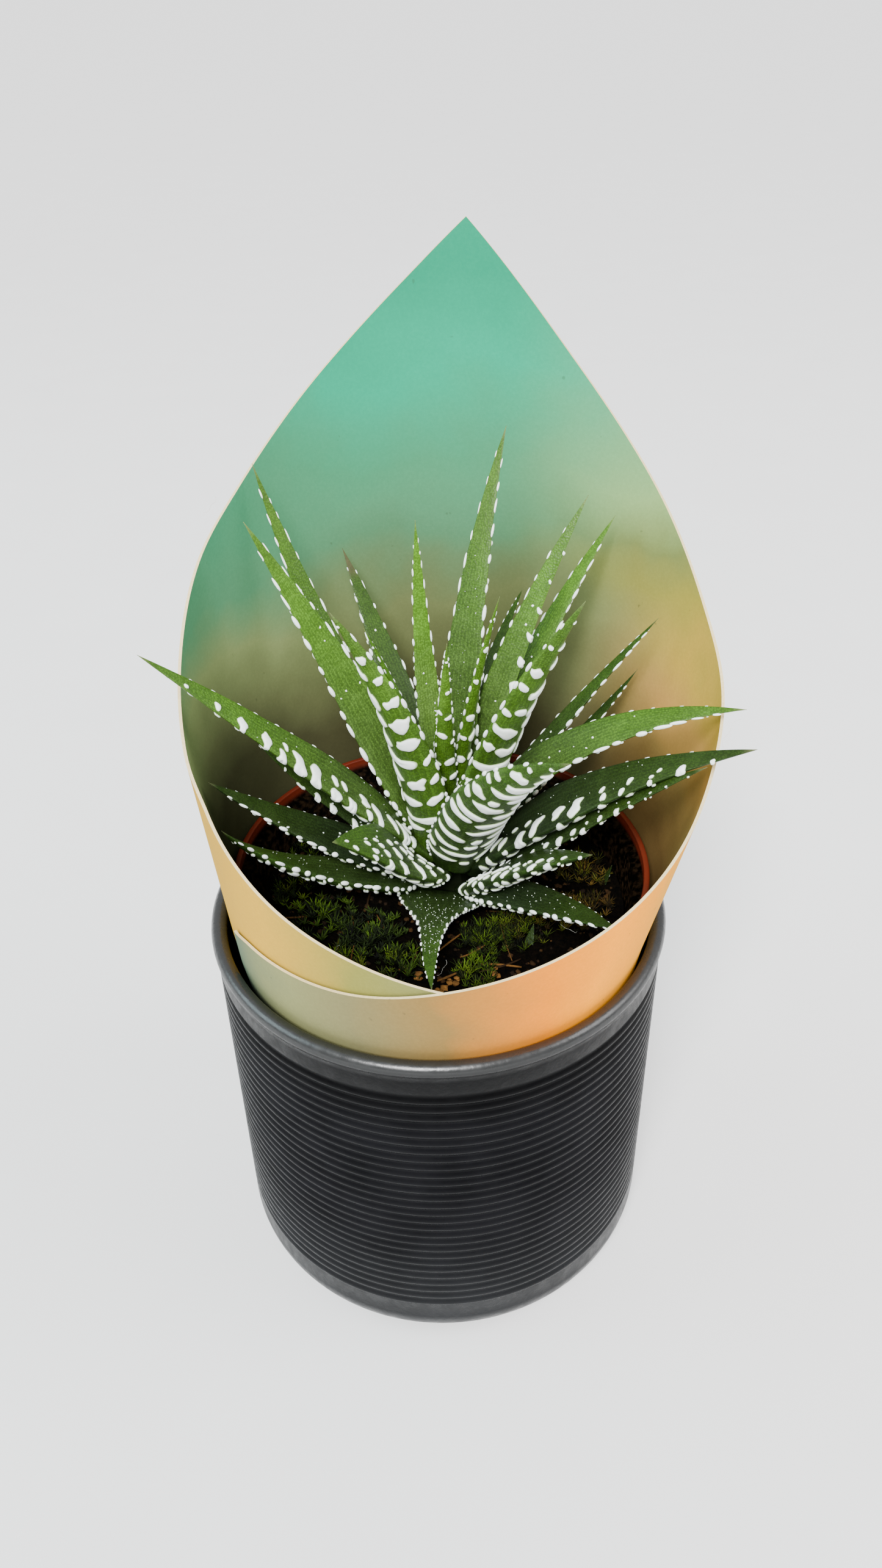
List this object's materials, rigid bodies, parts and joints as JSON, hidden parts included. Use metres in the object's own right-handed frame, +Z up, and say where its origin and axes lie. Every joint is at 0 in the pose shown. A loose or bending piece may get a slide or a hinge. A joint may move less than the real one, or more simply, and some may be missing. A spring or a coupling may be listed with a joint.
{
  "type": "potted zebra haworthia",
  "caption": "Zebra haworthia, a rosette of pointed leaves with raised white bands, in a nursery pot wrapped in a tall pointed card sleeve and set in a ribbed round ceramic pot.",
  "frame": {"origin": "centre of the ceramic pot's flat foot, on the surface it stands on", "axes": "+Z up the ceramic pot's axis, the sleeve's low front towards -Y and its peak towards +Y"},
  "size_m": [0.1139, 0.1147, 0.22],
  "materials": {
    "glaze": "satin dark grey glaze",
    "nursery_plastic": "matte red-brown",
    "card": "matte print, teal at the top to ochre below",
    "soil": "dark damp peat with moss",
    "stem": "matte pale green",
    "leaf": "satin green with raised white bands"
  },
  "bodies": {
    "root": {"ceramic_pot": "glaze", "nursery_pot": "nursery_plastic", "card_sleeve": "card", "soil": "soil", "stem": "stem", "leaf_01": "leaf", "leaf_02": "leaf", "leaf_03": "leaf", "leaf_04": "leaf", "leaf_05": "leaf", "leaf_06": "leaf", "leaf_07": "leaf", "leaf_08": "leaf", "leaf_09": "leaf", "leaf_10": "leaf", "leaf_11": "leaf", "leaf_12": "leaf", "leaf_13": "leaf", "leaf_14": "leaf", "leaf_15": "leaf", "leaf_16": "leaf", "leaf_17": "leaf", "leaf_18": "leaf", "leaf_19": "leaf", "leaf_20": "leaf", "leaf_21": "leaf", "leaf_22": "leaf", "leaf_23": "leaf", "leaf_24": "leaf", "leaf_25": "leaf", "leaf_26": "leaf", "leaf_27": "leaf", "leaf_28": "leaf", "offset_1": "leaf", "offset_2": "leaf", "offset_3": "leaf"}
  },
  "joints": []
}
